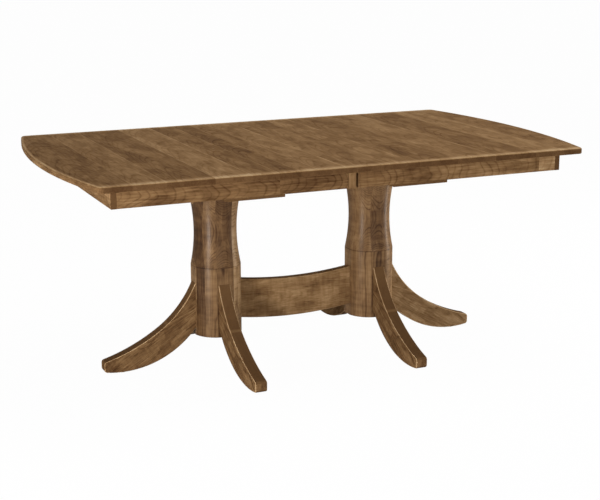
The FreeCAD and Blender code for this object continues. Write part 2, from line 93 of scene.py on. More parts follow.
def feed(tree, socket, value):
    """Link a socket to another one, or write a constant into it."""
    if isinstance(value, bpy.types.NodeSocket):
        tree.links.new(value, socket)
    else:
        socket.default_value = value


def maths(tree, operation, *values):
    """The result of a maths node."""
    made = add(tree, "Math", operation=operation)
    for socket, value in zip(made.inputs, values):
        feed(tree, socket, value)
    return made.outputs[0]


def vector(tree, operation, *values):
    """The result of a vector maths node, which is a single number for some operations."""
    made = add(tree, "VectorMath", operation=operation)
    for socket, value in zip(made.inputs, values):
        feed(tree, socket, value)
    return made.outputs["Value" if operation in SINGLE_NUMBER else "Vector"]


print("helpers:", [helper.__name__ for helper in (add, feed, maths, vector)])

# %% [markdown]
# ## The studio
#
# The table stands on a pale floor in front of white. The white is not made with more light: the floor and
# the world simply answer the camera with white, while the light that falls on the wood stays at a plain
# level. A share of the floor's answer is its real, lit surface, so the soft shadow of the feet stays.

# %% Floor
FLOOR_HALF = 30.0
FLOOR_PAINT = (0.80, 0.80, 0.80, 1.0)
FLOOR_GLOW_SHARE = 0.98


def seen_directly(tree):
    """One for rays from the camera, from a gloss or through glass, and nothing for the rest."""
    path = add(tree, "LightPath")
    seen = maths(tree, "MAXIMUM", path.outputs["Is Camera Ray"], path.outputs["Is Glossy Ray"])
    return maths(tree, "MAXIMUM", seen, path.outputs["Is Transmission Ray"])


def mix_shaders(tree, share, first, second):
    """The first shader, with a share of the second one in its place."""
    made = add(tree, "MixShader")
    for socket, value in zip(made.inputs, (share, first.outputs[0], second.outputs[0])):
        feed(tree, socket, value)
    return made


def floor_material():
    """Pale paint that answers the camera with white, and lets it look through from below."""
    material = bpy.data.materials.new("pale_floor")
    material.use_nodes = True
    tree = material.node_tree
    tree.nodes.clear()
    paint = add(tree, "BsdfDiffuse")
    paint.inputs["Color"].default_value = FLOOR_PAINT
    glow_share = maths(tree, "MULTIPLY", seen_directly(tree), FLOOR_GLOW_SHARE)
    above = mix_shaders(tree, glow_share, paint, add(tree, "Emission"))
    underneath = add(tree, "NewGeometry").outputs["Backfacing"]
    sides = mix_shaders(tree, underneath, above, add(tree, "BsdfTransparent"))
    feed(tree, add(tree, "OutputMaterial").inputs["Surface"], sides.outputs[0])
    return material


def lay_floor():
    bpy.ops.mesh.primitive_plane_add(size=2 * FLOOR_HALF)
    floor = bpy.context.object
    floor.name = "floor"
    floor.data.materials.append(floor_material())
    return floor


floor = lay_floor()
print(floor.name, "side in metres:", 2 * FLOOR_HALF)

# %% World
SKY_LIGHT = (0.30, 0.30, 0.31, 1.0)
WHITE = (1.0, 1.0, 1.0, 1.0)
# where the Mix node keeps its colour sockets
COLOUR_FACTOR, COLOUR_FIRST, COLOUR_SECOND, COLOUR_RESULT = 0, 6, 7, 2


def light_world():
    """A dim sky for the wood, which the camera sees as white."""
    world = bpy.data.worlds.new("white_studio")
    scene.world = world
    world.use_nodes = True
    tree = world.node_tree
    mix = add(tree, "Mix", data_type="RGBA")
    feed(tree, mix.inputs[COLOUR_FACTOR], seen_directly(tree))
    mix.inputs[COLOUR_FIRST].default_value = SKY_LIGHT
    mix.inputs[COLOUR_SECOND].default_value = WHITE
    feed(tree, tree.nodes["Background"].inputs["Color"], mix.outputs[COLOUR_RESULT])
    return world


world = light_world()
scene.view_settings.view_transform = "Standard"
print("world:", world.name, "view:", scene.view_settings.view_transform)

# %% [markdown]
# ## The lamps
#
# In the picture the wood is lit evenly, with soft light streaks down the turned columns. One big lamp could
# not give both, so the work is shared. Four softboxes light the wood from the left, the right, the front and
# overhead, where the light is slightly warm. They are kept out of reflections, or they would grey the
# finish. Two small strips, low at the left and the right, do the opposite: they show only in the gloss and
# make the streaks. All are hidden from the camera, so that no view shows a glowing board.

# %% Lamps
AIM = Vector((0.0, 0.0, 0.45))
WARM, NEUTRAL = (1.0, 0.97, 0.92), (1.0, 1.0, 1.0)
# name: turn around the table and height in degrees, distance, width and height in metres, watts, colour
SOFTBOXES = {
    "left_softbox": (-147, 0, 3.6, 0.6, 0.6, 86, NEUTRAL),
    "right_softbox": (-5, 2, 3.6, 0.6, 0.6, 84, NEUTRAL),
    "front_softbox": (-92, 10, 5.0, 2.2, 2.2, 68, NEUTRAL),
    "overhead_softbox": (-30, 74, 3.4, 2.6, 2.6, 70, WARM),
}
STRIPS = {
    "left_strip": (-150, -8, 1.7, 0.22, 0.40, 15, WARM),
    "right_strip": (-10, -8, 1.7, 0.34, 0.40, 8, WARM),
}


def hang_lamp(name, turn, height, distance, wide, tall, watts, colour):
    """A flat lamp that looks at the middle of the table."""
    data = bpy.data.lights.new(name, "AREA")
    data.shape = "RECTANGLE"
    data.size = wide
    data.size_y = tall
    data.energy = watts
    data.color = colour
    lamp = bpy.data.objects.new(name, data)
    scene.collection.objects.link(lamp)
    around, up = math.radians(turn), math.radians(height)
    away = Vector((math.cos(around) * math.cos(up), math.sin(around) * math.cos(up), math.sin(up)))
    lamp.location = AIM + distance * away
    lamp.rotation_euler = away.to_track_quat("Z", "Y").to_euler()
    lamp.visible_camera = False
    return lamp


for name, setting in SOFTBOXES.items():
    hang_lamp(name, *setting).visible_glossy = False
for name, setting in STRIPS.items():
    hang_lamp(name, *setting).visible_diffuse = False
print("lamps:", list(SOFTBOXES), list(STRIPS))

# %% [markdown]
# ## Noise, soft steps and ramps
#
# Three more helpers make the patterns of the wood. Noise gives cloudy lumps and can be stretched along the
# grain, a soft step turns a cloud into a patch with an edge, and a ramp turns a number into a colour. An
# image of wood would be quicker, but it would not run through a solid piece as grain does.

# %% Pattern helpers
def noise(tree, place, stretch, detail=2.0, roughness=0.5):
    """Cloudy noise whose lumps are one over stretch in size along each axis."""
    made = add(tree, "TexNoise", noise_dimensions="3D")
    feed(tree, made.inputs["Vector"], vector(tree, "MULTIPLY", place, stretch))
    made.inputs["Scale"].default_value = 1.0
    made.inputs["Detail"].default_value = detail
    made.inputs["Roughness"].default_value = roughness
    return made


def ease(tree, value, low, high):
    """Nothing at low, everything at high, with a soft step between; low may be the larger one."""
    made = add(tree, "MapRange", interpolation_type="SMOOTHSTEP")
    feed(tree, made.inputs["Value"], value)
    made.inputs["From Min"].default_value = low
    made.inputs["From Max"].default_value = high
    return made.outputs["Result"]


def colour_ramp(tree, value, stops, interpolation="LINEAR"):
    """A ramp through (position, colour) stops; a fourth value of a colour goes to the alpha."""
    made = add(tree, "ValToRGB")
    made.color_ramp.interpolation = interpolation
    elements = made.color_ramp.elements
    elements.remove(elements[1])
    for index, (position, colour) in enumerate(stops):
        element = elements[0] if index == 0 else elements.new(position)
        element.position = position
        element.color = (*colour, 1.0)[:4]
    feed(tree, made.inputs["Fac"], value)
    return made.outputs["Color"]


print("pattern helpers:", [helper.__name__ for helper in (noise, ease, colour_ramp)])

# %% [markdown]
# ## How a board grows
#
# Wood looks like wood because it is a solid: the same growth rings show as long arches on a face, as tight
# lines on an edge and as arcs on an end. A flat picture could not follow a turned column, so the figure is
# worked out in three dimensions from each board's own axes: along the grain, across the board, and through
# it. Rings are distances from a pith line that lies beside the board and may tilt a little, which makes the
# arches. Noise bends them, as real trees do.

# %% Board figure
# how dark one year's growth is, from its first wood to its last
YEAR_SHADES = [(0.0, 0.15), (0.20, 0.0), (0.68, 0.10), (0.88, 1.0), (0.94, 0.9), (1.0, 0.15)]
RING_STOPS = [(share, (shade,) * 3) for share, shade in YEAR_SHADES]
# bends of the pith in one metre, along the grain, across the board and through it
BENDS = (4.0, 9.0, 9.0)
MIDDLE_GREY = (0.5, 0.5, 0.5)
# dry and wet years change the strength of the lines: how fast, between which noise levels, how weak
YEAR_CHANGE = 0.31
DRY_TO_WET = (0.35, 0.65)
WEAKEST_LINE = 0.3


def board_axes(tree, origin, grain, across):
    """Object coordinates turned so that X runs along the grain, Y across the board and Z through it."""
    through = grain.cross(across)
    turn = Matrix((grain, across, through)).transposed().to_euler()
    mapping = add(tree, "Mapping", vector_type="TEXTURE")
    feed(tree, mapping.inputs["Vector"], add(tree, "TexCoord").outputs["Object"])
    mapping.inputs["Location"].default_value = origin
    mapping.inputs["Rotation"].default_value = turn
    return mapping.outputs["Vector"]


def pith_distance(tree, place, own, seed, figure):
    """How far a place is from its board's bent pith line."""
    bend = noise(tree, own, BENDS).outputs["Color"]
    bent = vector(tree, "SUBTRACT", bend, MIDDLE_GREY)
    shift = vector(tree, "MULTIPLY", bent, (0.0, figure["wander"], figure["wander"]))
    parts = add(tree, "SeparateXYZ")
    feed(tree, parts.inputs[0], vector(tree, "ADD", place, shift))
    lean = maths(tree, "MULTIPLY", parts.outputs["X"], figure["pith_tilt"])
    depth = maths(tree, "MULTIPLY_ADD", seed, figure["pith_depth"], figure["pith_depth"])
    below = maths(tree, "ADD", parts.outputs["Z"], depth)
    from_pith = add(tree, "CombineXYZ")
    feed(tree, from_pith.inputs["Y"], parts.outputs["Y"])
    feed(tree, from_pith.inputs["Z"], maths(tree, "ADD", below, lean))
    return vector(tree, "LENGTH", from_pith.outputs[0])


def growth_rings(tree, place, own, seed, figure):
    """Dark late wood lines at even distances from the pith, stronger in some years than in others."""
    count = maths(tree, "DIVIDE", pith_distance(tree, place, own, seed, figure), figure["ring_width"])
    line = colour_ramp(tree, maths(tree, "FRACT", count), RING_STOPS)
    year = add(tree, "TexNoise", noise_dimensions="1D")
    feed(tree, year.inputs["W"], maths(tree, "MULTIPLY", count, YEAR_CHANGE))
    year.inputs["Scale"].default_value = 1.0
    wet = ease(tree, year.outputs[0], *DRY_TO_WET)
    strength = maths(tree, "MULTIPLY_ADD", wet, 1.0 - WEAKEST_LINE, WEAKEST_LINE)
    return maths(tree, "MULTIPLY", line, strength)


print("one year's growth has", len(RING_STOPS), "shades")

# %% [markdown]
# ## Boards glued side by side
#
# Wide panels, thick columns and legs are all glued up from boards, and each board has its own tone and its
# own figure. One long colour ramp with hard steps can hold all of it: for each board it stores the tone in
# red, the middle in green, a seed in blue and the half width in alpha. That is lighter than one material
# for each board, and it keeps the joints exactly straight.

# %% Glued boards
# seeds are spread evenly over a piece, and pieces that start elsewhere get other ones
FIRST_SEED = 0.37
SEED_STEP = 0.618
SEED_BY_PLACE = 1.7


def split_boards(tree, place, boards, end):
    """The tone, middle, seed and half width of the board that a place along the seam axis belongs to."""
    start = boards[0][0]
    span = end - start
    edges = [board[0] for board in boards] + [end]
    stops = []
    for index, (low, tone) in enumerate(boards):
        high = edges[index + 1]
        seed = (FIRST_SEED + index * SEED_STEP + abs(start) * SEED_BY_PLACE) % 1.0
        values = (tone, ((low + high) / 2 - start) / span, seed, (high - low) / 2 / span)
        stops.append(((low - start) / span, values))
    share = maths(tree, "DIVIDE", maths(tree, "SUBTRACT", place, start), span)
    ramp = colour_ramp(tree, share, stops, "CONSTANT")
    split = add(tree, "SeparateColor")
    feed(tree, split.inputs["Color"], ramp)
    middle = maths(tree, "MULTIPLY_ADD", split.outputs["Green"], span, start)
    half_width = maths(tree, "MULTIPLY", ramp.node.outputs["Alpha"], span)
    return split.outputs["Red"], middle, split.outputs["Blue"], half_width


def own_board(tree, origin, grain, across, boards, end, seam, follow):
    """A place on its own board, with the board's tone and seed and the distance to its glue line."""
    parts = add(tree, "SeparateXYZ")
    feed(tree, parts.inputs[0], board_axes(tree, origin, grain, across))
    along_seam = parts.outputs["Y"]
    if seam is not None:
        away = vector(tree, "SUBTRACT", add(tree, "TexCoord").outputs["Object"], tuple(origin))
        along_seam = vector(tree, "DOT_PRODUCT", away, tuple(seam))
    tone, middle, seed, half_width = split_boards(tree, along_seam, boards, end)
    from_middle = maths(tree, "ABSOLUTE", maths(tree, "SUBTRACT", along_seam, middle))
    to_glue = maths(tree, "SUBTRACT", half_width, from_middle)
    across_place = parts.outputs["Y"]
    if seam is None:
        across_place = maths(tree, "MULTIPLY_ADD", middle, -follow, across_place)
    place = add(tree, "CombineXYZ")
    feed(tree, place.inputs["X"], parts.outputs["X"])
    feed(tree, place.inputs["Y"], across_place)
    feed(tree, place.inputs["Z"], parts.outputs["Z"])
    return place.outputs[0], tone, seed, to_glue


print("boards carry a tone, a middle, a seed and a half width")

# %% [markdown]
# ## Shades of one stain
#
# Maple takes stain unevenly: it goes cloudy, the fibres show as fine dashes, and the rays show as short
# ticks across the grain. All of these are shades of one stain, so they are added up into a single number.
# Mixing many colours would also work, but one number is easier to balance, and roughness and bump can
# follow the same patterns.

# %% Shade of a board
FIGURE = {
    # rings: their width in metres, where the pith lies and how it tilts, follows the boards and wanders
    "ring_width": 0.0030, "pith_depth": 0.055, "pith_tilt": 0.06, "pith_follow": 1.0, "wander": 0.012,
    # how strong each pattern is, and how fine the cloudy ones are
    "rings": 0.16, "fibre": 0.25, "dashes": 0.40, "mottle": 0.35, "curl": 0.15, "patch": 0.08,
    "streak": 0.06, "fleck": 0.0, "glue": 0.05, "fineness": 1.0,
    # end grain, light edge lines that are partly wear and partly painted highlight, and painted shade on
    # sawn upper edges
    "end_grain": 0.6, "end_tone": 0.32, "end_power": 6.0, "wear_and_highlight": 0.20, "upper": 0.0, "upper_tone": 0.32,
}
# name: lumps in one metre along the grain and across it, detail and roughness of the noise
CLOUDS = {
    "fibre": (9.0, 520.0, 3.0, 0.5),
    "dashes": (13.0, 170.0, 3.0, 0.6),
    "mottle": (7.0, 19.0, 5.0, 0.6),
    "patch": (7.0, 17.0, 3.0, 0.5),
    "curl": (60.0, 12.0, 3.0, 0.5),
    "streak": (1.3, 42.0, 2.0, 0.5),
    "tick": (190.0, 45.0, 1.0, 0.5),
}
WITH_FINENESS = ("dashes", "mottle", "patch", "curl")
# noise levels between which a cloud turns into a patch, a streak or a tick
EDGES = {"patch": (0.47, 0.53), "streak": (0.58, 0.70), "tick": (0.54, 0.66)}
# ticks show on boards that are lighter than these tones
TICKED_TONES = (0.46, 0.58)
SEED_SPREAD = (37.0, 11.0, 23.0)


def cloud_patterns(tree, own, figure):
    """The patterns of the stain at a place, each from nothing to one."""
    fine = vector(tree, "MULTIPLY", own, (figure["fineness"],) * 3)
    patterns = {}
    for name, (along, across, detail, roughness) in CLOUDS.items():
        place = fine if name in WITH_FINENESS else own
        patterns[name] = noise(tree, place, (along, across, across), detail, roughness).outputs[0]
    for name, (low, high) in EDGES.items():
        patterns[name] = ease(tree, patterns[name], low, high)
    return patterns


def shade_of_board(tree, place, seed, tone, figure):
    """One number for how light a board is at a place, with its fibres and rings for gloss and bump."""
    seeds = vector(tree, "SCALE", SEED_SPREAD)
    feed(tree, seeds.node.inputs["Scale"], seed)
    own = vector(tree, "ADD", place, seeds)
    patterns = cloud_patterns(tree, own, figure)
    patterns["rings"] = growth_rings(tree, place, own, seed, figure)
    patterns["fleck"] = maths(tree, "MULTIPLY", patterns["tick"], ease(tree, tone, *TICKED_TONES))
    shade = tone
    for name in ("fibre", "dashes", "mottle", "curl", "patch"):
        swing = maths(tree, "SUBTRACT", patterns[name], 0.5)
        shade = maths(tree, "MULTIPLY_ADD", swing, figure[name], shade)
    for name in ("rings", "streak", "fleck"):
        shade = maths(tree, "SUBTRACT", shade, maths(tree, "MULTIPLY", patterns[name], figure[name]))
    return shade, patterns["fibre"], patterns["rings"]


print("patterns in a board: rings and", list(CLOUDS))

# %% [markdown]
# ## Faces and edges
#
# End grain drinks more stain and turns dark. The sawn upper edges of the legs are flat and get painted
# shade, which makes them dark, and the rounded edges get a light line that is partly rubbed wear and partly
# painted highlight. Each face could be picked by hand and given a material of its own, but the direction of
# the surface already tells which is which.

# %% Faces and edges
ALONG, DEEP, UP = Vector((1, 0, 0)), Vector((0, 1, 0)), Vector((0, 0, 1))
# distances from a seam in metres between which its glue line grows to full strength
GLUE_LINE = (0.0024, 0.0006)
# how far a face has to look up to be an upper edge, and how little it may look sideways
LOOKS_UP = (0.10, 0.35)
LOOKS_SIDEWAYS = (0.6, 0.2)
# brings the middle of a bend to one, and how narrow the light line of wear and painted highlight is there
BEND_SCALE = 4.0
LIGHT_LINE_NARROWNESS = 2.5


def darken_ends(tree, shade, normal, grain, figure):
    """A darker shade where the surface faces along the grain, and how much it does."""
    facing_end = maths(tree, "ABSOLUTE", vector(tree, "DOT_PRODUCT", normal, tuple(grain)))
    end_face = maths(tree, "POWER", facing_end, figure["end_power"])
    change = maths(tree, "SUBTRACT", figure["end_tone"], shade)
    change = maths(tree, "MULTIPLY", change, figure["end_grain"])
    return maths(tree, "MULTIPLY_ADD", change, end_face, shade), end_face


def paint_upper_shade(tree, shade, normal, sideways, figure):
    """Painted shade on faces that look up and not to the side."""
    upward = ease(tree, vector(tree, "DOT_PRODUCT", normal, tuple(UP)), *LOOKS_UP)
    upper = maths(tree, "MULTIPLY", upward, ease(tree, sideways, *LOOKS_SIDEWAYS))
    change = maths(tree, "SUBTRACT", figure["upper_tone"], shade)
    change = maths(tree, "MULTIPLY", change, figure["upper"])
    return maths(tree, "MULTIPLY_ADD", change, upper, shade)


def stain_faces_with_painted_light(tree, shade, grain, edge_face, to_glue, figure):
    """Darker end grain, painted shade on upper edges, thin glue lines, and light lines where a face bends
    away, which are partly wear and partly painted highlight.
    """
    normal = add(tree, "TexCoord").outputs["Normal"]
    shade, end_face = darken_ends(tree, shade, normal, grain, figure)
    glue_line = maths(tree, "MULTIPLY", ease(tree, to_glue, *GLUE_LINE), figure["glue"])
    glue_line = maths(tree, "MULTIPLY", glue_line, maths(tree, "SUBTRACT", 1.0, end_face))
    if edge_face is not None:
        sideways = maths(tree, "POWER", vector(tree, "DOT_PRODUCT", normal, tuple(edge_face)), 2.0)
        # faces that look up get painted shade
        if figure["upper"]:
            shade = paint_upper_shade(tree, shade, normal, sideways, figure)
        # a light line on each bend, partly rubbed wear and partly painted highlight
        bend = maths(tree, "MULTIPLY", sideways, maths(tree, "SUBTRACT", 1.0, sideways))
        line = maths(tree, "POWER", maths(tree, "MULTIPLY", bend, BEND_SCALE), LIGHT_LINE_NARROWNESS)
        shade = maths(tree, "MULTIPLY_ADD", line, figure["wear_and_highlight"], shade)
    return maths(tree, "ADD", shade, glue_line)


print("glue line width in millimetres:", round(2000 * GLUE_LINE[0], 1))

# %% [markdown]
# ## The rim and the shoulder
#
# The rim of the top gets a light band, partly wear rubbed in by hands and cloths and partly a painted
# highlight. The crease above each hub, where the turned curve meets the straight part, gets a thin line of
# painted shade, with a little painted light on the hub below it. Both could be painted on the mesh by hand.
# Distances do it more exactly here: how far a place is from the edge of the top, or from the height of the
# shoulder.

# %% Rim and shoulder
# distances from the sides and the ends in metres, where the light rim of wear and painted highlight starts
# and where it is full
SIDE_RIM = (0.046, 0.006)
END_RIM = (0.012, 0.004)
FACES_UP = (0.50, 0.80)
# how much lighter the rim gets, partly rubbed wear and partly painted highlight
RIM_HIGHLIGHT_AND_WEAR = 0.36
CREASE_HALF = 0.0030
# how dark the painted shade in the crease is, and how much painted light the hub below it gets
CREASE_PAINTED_SHADE = 0.17
HUB_PAINTED_LIGHT = 0.03


def paint_rim_highlight_and_wear(tree, shade, rim):
    """Lighter wood along the upper rim of the top, whose ends are bowed about a centre far away: partly
    rubbed wear, partly a painted highlight.
    """
    coordinates = add(tree, "TexCoord")
    parts = add(tree, "SeparateXYZ")
    feed(tree, parts.inputs[0], coordinates.outputs["Object"])
    to_side = maths(tree, "SUBTRACT", rim["half_width"], maths(tree, "ABSOLUTE", parts.outputs["Y"]))
    flat_place = vector(tree, "MULTIPLY", coordinates.outputs["Object"], (1.0, 1.0, 0.0))
    from_centre = vector(tree, "SUBTRACT", flat_place, (rim["bow_centre"], 0.0, 0.0))
    to_end = maths(tree, "SUBTRACT", rim["bow_radius"], vector(tree, "LENGTH", from_centre))
    near_rim = maths(tree, "MAXIMUM", ease(tree, to_side, *SIDE_RIM), ease(tree, to_end, *END_RIM))
    upward = vector(tree, "DOT_PRODUCT", coordinates.outputs["Normal"], tuple(UP))
    rubbed = maths(tree, "MULTIPLY", near_rim, ease(tree, upward, *FACES_UP))
    return maths(tree, "MULTIPLY_ADD", rubbed, RIM_HIGHLIGHT_AND_WEAR, shade)


def paint_crease_shade(tree, shade, height):
    """A thin line of painted shade at a height, and slightly lighter wood below it as painted light."""
    parts = add(tree, "SeparateXYZ")
    feed(tree, parts.inputs[0], add(tree, "TexCoord").outputs["Object"])
    above = maths(tree, "SUBTRACT", parts.outputs["Z"], height)
    line = ease(tree, maths(tree, "ABSOLUTE", above), CREASE_HALF, 0.0)
    lower = ease(tree, above, 0.0, -CREASE_HALF)
    shade = maths(tree, "MULTIPLY_ADD", lower, HUB_PAINTED_LIGHT, shade)
    return maths(tree, "MULTIPLY_ADD", line, -CREASE_PAINTED_SHADE, shade)


print("crease half width in metres:", CREASE_HALF)

# %% [markdown]
# ## Stain and lacquer on maple
#
# The shade number is looked up in one palette of stain, from the dark of the end grain to the light of an
# edge that is partly rubbed and partly painted highlight. Roughness and a very small bump follow the fibres.
# The lacquer is rubbed almost flat, so most pieces hardly shine. The turned columns keep a thin satin coat.
# A heavy coat would put a white rim round them, so its weight is low and its refraction high, which leaves
# little but the streaks.

# %% Stain palette
# the curve that screens use: a straight part for the darkest levels, then a power
STRAIGHT_END, STRAIGHT_SLOPE, CURVE_OFFSET, CURVE_POWER = 0.04045, 12.92, 0.055, 2.4


def linear(*levels):
    """A colour as a picture editor shows it, turned to the linear light that shaders use."""
    def channel(level):
        share = level / 255
        if share <= STRAIGHT_END:
            return share / STRAIGHT_SLOPE
        return ((share + CURVE_OFFSET) / (1 + CURVE_OFFSET)) ** CURVE_POWER
    return tuple(channel(level) for level in levels)


STAIN = [
    (0.00, linear(46, 30, 17)), (0.22, linear(78, 54, 33)), (0.40, linear(104, 77, 50)),
    (0.52, linear(121, 92, 61)), (0.68, linear(141, 111, 77)), (0.85, linear(162, 132, 96)),
    (1.00, linear(184, 156, 120)),
]
print("shades of stain:", len(STAIN))

# %% Stained maple
RUBBED = {"roughness": 0.55, "bump": 0.25, "coat": 0.0}
SATIN = {"roughness": 0.50, "bump": 0.12, "coat": 0.075}
SPECULAR_LEVEL = 0.0015
COAT_ROUGHNESS = 0.31
COAT_IOR = 2.0
# how much fibres and rings change the roughness, and rings the height of the surface
FIBRE_GLOSS, RING_GLOSS = 0.12, 0.05
RING_HEIGHT = -0.5
WOOD_BUMP_DEPTH = 0.0006


def new_finish(name):
    """A new material, its tree and its shader."""
    material = bpy.data.materials.new(name)
    material.use_nodes = True
    tree = material.node_tree
    return material, tree, tree.nodes["Principled BSDF"]


def raise_surface(tree, shader, height, strength, depth):
    """A small bump that follows a pattern."""
    bump = add(tree, "Bump")
    bump.inputs["Strength"].default_value = strength
    bump.inputs["Distance"].default_value = depth
    feed(tree, bump.inputs["Height"], height)
    feed(tree, shader.inputs["Normal"], bump.outputs[0])


def stained_maple(name, origin, grain, across, boards, end, seam=None, edge_face=None, crease=None,
                  rim=None, lacquer=RUBBED, **changes):
    """A maple piece made of boards that are glued side by side along the seam axis."""
    figure = {**FIGURE, **changes}
    material, tree, shader = new_finish(name)
    follow = figure["pith_follow"]
    place, tone, seed, to_glue = own_board(tree, origin, grain, across, boards, end, seam, follow)
    shade, fibre, rings = shade_of_board(tree, place, seed, tone, figure)
    shade = stain_faces_with_painted_light(tree, shade, grain, edge_face, to_glue, figure)
    # painted shade in the crease above the hub, and painted light on the hub below it
    if crease is not None:
        shade = paint_crease_shade(tree, shade, crease)
    # a light rim on the top, partly rubbed wear and partly painted highlight
    if rim is not None:
        shade = paint_rim_highlight_and_wear(tree, shade, rim)
    feed(tree, shader.inputs["Base Color"], colour_ramp(tree, shade, STAIN))
    swing = maths(tree, "SUBTRACT", fibre, 0.5)
    gloss = maths(tree, "MULTIPLY_ADD", swing, FIBRE_GLOSS, lacquer["roughness"])
    feed(tree, shader.inputs["Roughness"], maths(tree, "MULTIPLY_ADD", rings, RING_GLOSS, gloss))
    shader.inputs["Specular IOR Level"].default_value = SPECULAR_LEVEL
    shader.inputs["Coat Weight"].default_value = lacquer["coat"]
    shader.inputs["Coat Roughness"].default_value = COAT_ROUGHNESS
    shader.inputs["Coat IOR"].default_value = COAT_IOR
    height = maths(tree, "MULTIPLY_ADD", rings, RING_HEIGHT, fibre)
    raise_surface(tree, shader, height, lacquer["bump"], WOOD_BUMP_DEPTH)
    return material


print("coat on rubbed and on satin wood:", RUBBED["coat"], SATIN["coat"])

# %% [markdown]
# ## The split top
#
# Each half of the top is glued up from boards that run from front to back, so every board shows its face on
# top and its end grain along the front edge. Two long planks would be the wrong figure. The seams and tones
# below are read from the picture, board by board, from the left end to the right end.

# %% Top boards
# where each board starts, and its tone
LEFT_BOARDS = [
    (-0.915, 0.50), (-0.752, 0.58), (-0.645, 0.51), (-0.490, 0.64), (-0.370, 0.52),
    (-0.280, 0.46), (-0.210, 0.54), (-0.145, 0.60), (-0.050, 0.56),
]
RIGHT_BOARDS = [
    (-0.010, 0.56), (0.105, 0.60), (0.195, 0.52), (0.355, 0.60), (0.500, 0.52), (0.655, 0.65),
    (0.770, 0.57),
]
# boards of each half, where the last one ends, and the direction of the bowed end
TOP_HALVES = {"left": (LEFT_BOARDS, 0.0, -1), "right": (RIGHT_BOARDS, 0.92, 1)}
END_BOW = 0.0645
top_look = {"rings": 0.12, "ring_width": 0.004, "pith_depth": 0.10, "mottle": 0.40, "curl": 0.08,
            "dashes": 0.42, "streak": 0.05, "patch": 0.09, "glue": 0.15, "fineness": 1.1,
            "end_grain": 0.5, "end_tone": 0.0, "end_power": 1.5}


def dress(node_name, material):
    """Give a piece of the frame its finish by filling its material slots."""
    slots = nodes[node_name].material_slots
    for slot in slots:
        slot.material = material
    print(node_name, "wears", material.name, "in", len(slots), "slot")


def middle_of(node_name):
    low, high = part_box(node_name)
    return (low + high) / 2


half_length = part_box("right_top")[1].x
half_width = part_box("right_top")[1].y
bow_radius = (half_width ** 2 + END_BOW ** 2) / (2 * END_BOW)
for hand, (boards, end, sign) in TOP_HALVES.items():
    name = hand + "_top"
    bow_centre = sign * (half_length - bow_radius)
    # the rim gets a light band, partly rubbed wear and partly painted highlight
    rim = {"half_width": half_width, "bow_radius": bow_radius, "bow_centre": bow_centre}
    middle = UP * middle_of(name).z
    dress(name, stained_maple(name + "_boards", middle, DEEP, ALONG, boards, end, rim=rim, **top_look))

# %% [markdown]
# ## Aprons and joint blocks
#
# The aprons are boards on edge with strong figure. The side aprons run along the table, the end aprons run
# across it and lap over them, so their dark end grain shows at the front corners. A short, light block fills
# part of the gap at the split. The strip behind it could be left bare, but a pale strip would show in the
# gap, so it is painted dark as shade in the gap.

# %% Aprons
# where each board starts, its tone, and where the last one ends
SIDE_APRONS = {
    "left": ([(-0.80, 0.46), (-0.25, 0.43)], 0.0),
    "right": ([(0.0, 0.47), (0.36, 0.55), (0.715, 0.72)], 0.85),
}
END_APRON_TONES = {"left": 0.58, "right": 0.56}
BOARD_HALF = 0.05
apron_look = {"rings": 0.16, "ring_width": 0.0026, "pith_depth": 0.15, "pith_tilt": 0.09, "wander": 0.012,
              "mottle": 0.60, "curl": 0.12, "dashes": 0.65, "patch": 0.10, "glue": 0.0}
end_apron_look = {**apron_look, "end_grain": 0.9, "end_tone": 0.26}


def single_board(name, grain, across, tone, half=BOARD_HALF, **look):
    """Dress a piece that is one board of one tone, about its own middle."""
    boards = [(-half, tone)]
    dress(name, stained_maple(name + "_board", middle_of(name), grain, across, boards, half, **look))


for side in ("front", "back"):
    for hand, (boards, end) in SIDE_APRONS.items():
        name = hand + "_" + side + "_apron"
        origin = Vector((0, middle_of(name).y, middle_of(name).z))
        dress(name, stained_maple(name + "_board", origin, ALONG, UP, boards, end, seam=ALONG, **apron_look))
for hand, tone in END_APRON_TONES.items():
    single_board(hand + "_end_apron", DEEP, UP, tone, **end_apron_look)

# %% Joint blocks
BLOCK_TONE = 0.57
# the strip behind the gap is painted dark as shade
BACKER_PAINTED_SHADE = 0.16
for side in ("front", "back"):
    single_board(side + "_joint_block", UP, ALONG, BLOCK_TONE, rings=0.05)
    single_board(side + "_joint_backer", ALONG, UP, BACKER_PAINTED_SHADE)

# %% [markdown]
# ## Turned columns
#
# A column this thick is turned from a block of several boards glued face to face. The seams are flat planes,
# so they run straight up the round column, and the hollow curve cuts through the rings in nested arches.
# Because the figure is solid, the same material gives both without any unwrapping.

# %% Columns
# where each board starts, from the axis, and its tone
COLUMN_BOARDS = {
    "left": [(-0.11, 0.56), (-0.0838, 0.24), (-0.063, 0.44), (-0.027, 0.35), (0.036, 0.74)],
    "right": [(-0.11, 0.47), (-0.030, 0.39), (0.034, 0.60)],
}
COLUMN_END = 0.11
SHOULDER_HEIGHT = 0.352
# the crease above the hub gets painted shade, and the hub below it painted light
column_look = {"lacquer": SATIN, "crease": SHOULDER_HEIGHT, "ring_width": 0.0014, "pith_depth": -0.06,
               "pith_tilt": 0.0, "pith_follow": -0.6, "wander": 0.006, "rings": 0.28, "fleck": 0.16,
               "mottle": 0.40, "dashes": 0.25, "curl": 0.35, "glue": 0.0}
for hand, boards in COLUMN_BOARDS.items():
    name = hand + "_column"
    axis = middle_of(name)
    origin = Vector((axis.x, axis.y, 0.0))
    dress(name, stained_maple(name + "_blank", origin, UP, ALONG, boards, COLUMN_END, **column_look))

# %% [markdown]
# ## Sabre legs
#
# A sabre leg is sawn from a thick plank, with the grain running down its slope. The plank is wider than one
# board, so a glue line crosses the leg about halfway along its top. Each leg points another way, so its own
# directions are worked out from where it stands beside its column.

